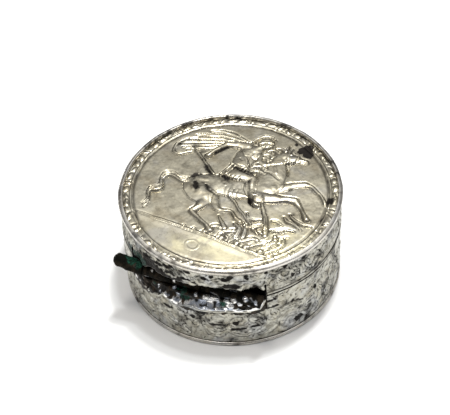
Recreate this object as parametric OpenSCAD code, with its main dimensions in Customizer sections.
// Round silver pill box with a struck lid and an inset hinge.
// Millimetres, +Z up. The origin is the centre of the underside, the hinge is
// at the back (+Y) and the lid opens from the front (-Y).

/* [Box] */
// Outside diameter over the rim
box_d = 30; // [29:0.5:32]
// Height of the closed box
box_h = 14.8; // [14.4:0.1:15.6]
// Height of the line where the lid meets the base
split_z = 9.2; // [9:0.1:9.5]
// How far the rim stands proud of the wall
rim_proud = 0.3; // [0.2:0.05:0.4]
// How far the foot is set in from the rim
foot_inset = 0.4; // [0.3:0.05:0.5]

/* [Sheet] */
// Thickness of the bottom plate
plate_t = 0.6; // [0.4:0.1:0.8]
// Thickness of the base wall
base_wall_t = 0.5; // [0.4:0.05:0.6]
// Thickness of the lid wall
lid_wall_t = 0.4; // [0.35:0.05:0.45]
// Thickness of the struck lid panel
panel_t = 0.5; // [0.4:0.1:0.7]
// Thickness of the strips round the hinge
strip_t = 0.4; // [0.3:0.05:0.5]

/* [Rim] */
// Height of the rim round the lid panel
rim_h = 0.9; // [0.7:0.1:1.2]
// How far the rim stands above the panel
rim_rise = 0.2; // [0.1:0.05:0.3]
// Height of the plain wire along the lid's lower edge
edge_wire_h = 0.45; // [0.3:0.05:0.6]
// How far that wire stands proud of the wall
edge_wire_proud = 0.12; // [0.05:0.01:0.12]

/* [Collar] */
// Thickness of the inner collar that the lid closes over
collar_t = 0.4; // [0.3:0.05:0.5]
// How far the collar stands above the base wall
collar_rise = 1.2; // [0.8:0.1:1.3]
// How far the collar reaches down inside the base
collar_drop = 3.4; // [2:0.1:4]

/* [Hinge] */
// Distance from the wall's outer face in to the hinge axis
hinge_inset = 2.25; // [2.2:0.05:2.4]
// Outside diameter of the hinge tube
barrel_d = 1.8; // [1.5:0.1:1.8]
// Bore of the hinge tube
bore_d = 0.9; // [0.88:0.02:0.96]
// Diameter of the hinge pin
pin_d = 0.8; // [0.7:0.05:0.8]
// Length of the barrel on the -X side of the middle
barrel_left = 9.3; // [9:0.1:9.5]
// Length of the barrel on the +X side, where it stands out past the wall
barrel_right = 11.4; // [10:0.1:11.8]
// Gap between neighbouring knuckles
knuckle_gap = 0.1; // [0.05:0.05:0.2]
// Half the width of the opening cut for the hinge
notch_half = 9.5; // [9.5:0.1:9.8]
// Height of the lip where the base wall is cut down
lip_z = 6.8; // [6.5:0.1:6.8]
// Height of the dip in the lip at its +X end
dip_z = 6.1; // [5.7:0.1:6.3]
// Length of that dip
dip_w = 3.6; // [2.5:0.1:4.5]
// Height of the floor of the recess behind the lip
recess_z = 6; // [5.3:0.1:6]
// Height that the lid wall is cut up to
lid_cut_z = 11.3; // [11.3:0.1:11.7]

/* [Thumb lip] */
// Radius of the half-moon lip
thumb_r = 2.2; // [1.6:0.1:2.6]
// How far it stands out from the wall
thumb_out = 1.2; // [0.8:0.1:1.5]
// Its thickness
thumb_t = 0.6; // [0.5:0.1:0.8]

/* [Hidden] */
$fn = 96;

rim_r = box_d / 2;
wall_r = rim_r - rim_proud;          // outer face of both walls
base_in_r = wall_r - base_wall_t;    // inner face of the base wall
lid_in_r = wall_r - lid_wall_t;      // inner face of the lid wall
lid_gap = 0.05;                      // gap between the closed lid and the base
overcut = 1;                         // how far a cutting shape runs past the metal
lid_z = split_z + lid_gap;           // lower edge of the lid
rim_z = box_h - rim_h;               // underside of the rim
panel_top = box_h - rim_rise;
panel_z = panel_top - panel_t;       // underside of the panel

hinge_y = wall_r - hinge_inset;
hinge_z = split_z - lid_gap;
barrel_r = barrel_d / 2;
strip_gap = 0.2;                     // barrel to the strips round it
plate_back_y = hinge_y - barrel_r - strip_gap; // back face of both hinge plates
plate_front_y = plate_back_y - strip_t;
bearer_top = hinge_z - barrel_r - strip_gap;
bearer_half = 8.6;                   // half the length of the bearer
bearer_out = 0.6;                    // how far it reaches behind the axis
foot_half = 0.55;                    // half the width of a base knuckle's foot
collar_gap = 0.45;                   // hinge plates to the ends of the collar
collar_end_y = plate_front_y - collar_gap;
knuckle_foot_gap = 0.1;              // hinge axis up to a lid knuckle's foot
head_r = 0.62;                       // peened ends of the pin
head_h = 0.25;
edge_round = 0.25;                   // rounding of the plate and rim edges

knuckles = 5;
knuckle_len = (barrel_left + barrel_right - (knuckles - 1) * knuckle_gap) / knuckles;
function knuckle_x(i) = -barrel_left + i * (knuckle_len + knuckle_gap);

silver = [0.72, 0.71, 0.68];
champagne = [0.78, 0.75, 0.66];
tarnish = [0.36, 0.33, 0.30];

// A plain ring standing on z0.
module ring(r_out, r_in, z0, z1) {
    translate([0, 0, z0]) difference() {
        cylinder(h = z1 - z0, r = r_out);
        translate([0, 0, -overcut])
            cylinder(h = z1 - z0 + 2 * overcut, r = r_in);
    }
}

// The outline from the axis out to r, rounded at the corners named true.
module turned_edge(r_in, r, h, low, high) {
    rotate_extrude() union() {
        translate([r_in, low ? edge_round : 0])
            square([r - r_in, h - (low ? edge_round : 0) - (high ? edge_round : 0)]);
        if (low) {
            translate([r_in, 0]) square([r - edge_round - r_in, edge_round]);
            translate([r - edge_round, edge_round]) circle(r = edge_round, $fn = 32);
        }
        if (high) {
            translate([r_in, h - edge_round])
                square([r - edge_round - r_in, edge_round]);
            translate([r - edge_round, h - edge_round])
                circle(r = edge_round, $fn = 32);
        }
    }
}

// The space that is cut out of a wall for the hinge, from z0 up to z1.
module notch(z0, z1) {
    translate([-notch_half, collar_end_y - overcut, z0])
        cube([2 * notch_half, rim_r, z1 - z0]);
}

// A length of hinge tube along X, before it is bored.
module tube_blank(x0) {
    translate([x0, hinge_y, hinge_z]) rotate([0, 90, 0])
        cylinder(h = knuckle_len, r = barrel_r);
}

// The bore through a length of hinge tube.
module tube_bore(x0) {
    translate([x0 - overcut, hinge_y, hinge_z]) rotate([0, 90, 0])
        cylinder(h = knuckle_len + 2 * overcut, r = bore_d / 2);
}

// Knuckle i on the base, with its foot on the bearer.
module base_knuckle(i) {
    x0 = knuckle_x(i);
    foot_x0 = max(x0, -bearer_half);
    foot_x1 = min(x0 + knuckle_len, bearer_half);
    color(tarnish) difference() {
        union() {
            tube_blank(x0);
            intersection() {
                translate([foot_x0, hinge_y - foot_half, bearer_top])
                    cube([foot_x1 - foot_x0, 2 * foot_half, barrel_r]);
                cylinder(h = box_h, r = wall_r);
            }
        }
        tube_bore(x0);
    }
}

// Knuckle i on the lid, with its foot against the lid's hinge plate.
module lid_knuckle(i) {
    x0 = knuckle_x(i);
    color(tarnish) difference() {
        union() {
            tube_blank(x0);
            translate([x0, plate_back_y, hinge_z + knuckle_foot_gap])
                cube([knuckle_len, barrel_r, barrel_r - knuckle_foot_gap]);
        }
        tube_bore(x0);
    }
}

module base_plate() {
    color(silver) turned_edge(0, rim_r - foot_inset, plate_t, true, true);
}

module base_band() {
    color(silver) difference() {
        ring(wall_r, base_in_r, plate_t, split_z);
        notch(lip_z, split_z + overcut);
        translate([notch_half - dip_w, collar_end_y - overcut, dip_z])
            cube([dip_w, rim_r, split_z]);
    }
}

module base_collar() {
    color(champagne) difference() {
        ring(base_in_r, base_in_r - collar_t, split_z - collar_drop,
             split_z + collar_rise);
        translate([-rim_r, collar_end_y, 0]) cube([box_d, rim_r, box_h]);
    }
}

// The D-shaped floor between the lip and the hinge plate.
module recess_floor() {
    color(tarnish) intersection() {
        translate([0, 0, recess_z - strip_t]) cylinder(h = strip_t, r = base_in_r);
        translate([-rim_r, plate_front_y, 0]) cube([box_d, rim_r, box_h]);
    }
}

// The plate that closes the base in front of the barrel. It fills the width of
// the notch above the lip and the dip, and the inside of the wall below them.
module hinge_back_plate() {
    color(tarnish) union() {
        translate([-notch_half, plate_front_y, lip_z])
            cube([2 * notch_half, strip_t, hinge_z - lid_gap - lip_z]);
        translate([0, plate_front_y, dip_z])
            cube([notch_half, strip_t, lip_z - dip_z]);
        intersection() {
            translate([-rim_r, plate_front_y, recess_z])
                cube([box_d, strip_t, lip_z - recess_z]);
            translate([0, 0, recess_z]) cylinder(h = lip_z - recess_z, r = base_in_r);
        }
    }
}

// The bar that the base knuckles are soldered to. It stands on the recess floor
// inside the wall, and above the lip it is trimmed to the wall's outer curve.
module hinge_bearer() {
    depth = hinge_y + bearer_out - plate_back_y;
    color(tarnish) intersection() {
        translate([-bearer_half, plate_back_y, recess_z])
            cube([2 * bearer_half, depth, bearer_top - recess_z]);
        union() {
            translate([0, 0, recess_z]) cylinder(h = lip_z - recess_z, r = base_in_r);
            translate([0, 0, lip_z]) cylinder(h = box_h, r = wall_r);
        }
    }
}

module hinge_pin() {
    color(tarnish) translate([-barrel_left - head_h, hinge_y, hinge_z])
        rotate([0, 90, 0]) union() {
            cylinder(h = barrel_left + barrel_right + 2 * head_h, r = pin_d / 2);
            cylinder(h = head_h, r = head_r);
            translate([0, 0, barrel_left + barrel_right + head_h])
                cylinder(h = head_h, r = head_r);
        }
}

module lid_panel() {
    color(champagne) translate([0, 0, panel_z]) cylinder(h = panel_t, r = lid_in_r);
}

module lid_rim() {
    color(silver) translate([0, 0, rim_z])
        turned_edge(lid_in_r, rim_r, rim_h, true, true);
}

module lid_band() {
    color(silver) difference() {
        ring(wall_r, lid_in_r, lid_z + edge_wire_h, rim_z);
        notch(lid_z - overcut, lid_cut_z);
    }
}

module lid_edge_wire() {
    color(silver) difference() {
        ring(wall_r + edge_wire_proud, lid_in_r, lid_z, lid_z + edge_wire_h);
        notch(lid_z - overcut, lid_cut_z);
    }
}

// The plate that closes the lid in front of the barrel. It fills the width of
// the notch up to the cut edge, and the inside of the lid wall above it.
module lid_hinge_plate() {
    color(champagne) union() {
        translate([-notch_half, plate_front_y, lid_z])
            cube([2 * notch_half, strip_t, lid_cut_z - lid_z]);
        intersection() {
            translate([-rim_r, plate_front_y, lid_cut_z])
                cube([box_d, strip_t, panel_z - lid_cut_z]);
            translate([0, 0, lid_cut_z])
                cylinder(h = panel_z - lid_cut_z, r = lid_in_r);
        }
    }
}

// The half-moon lip at the front that a thumbnail lifts.
module thumb_lip() {
    color(silver) difference() {
        translate([0, thumb_r - thumb_out - wall_r, lid_z])
            cylinder(h = thumb_t, r = thumb_r);
        translate([0, 0, lid_z - overcut])
            cylinder(h = edge_wire_h + overcut, r = wall_r + edge_wire_proud);
        translate([0, 0, lid_z]) cylinder(h = thumb_t + overcut, r = wall_r);
    }
}

base_plate();
base_band();
base_collar();
recess_floor();
hinge_back_plate();
hinge_bearer();
base_knuckle(0);  // base_knuckle_left
base_knuckle(2);  // base_knuckle_middle
base_knuckle(4);  // base_knuckle_right
hinge_pin();
lid_panel();
lid_rim();
lid_band();
lid_edge_wire();
lid_hinge_plate();
lid_knuckle(1);  // lid_knuckle_left
lid_knuckle(3);  // lid_knuckle_right
thumb_lip();
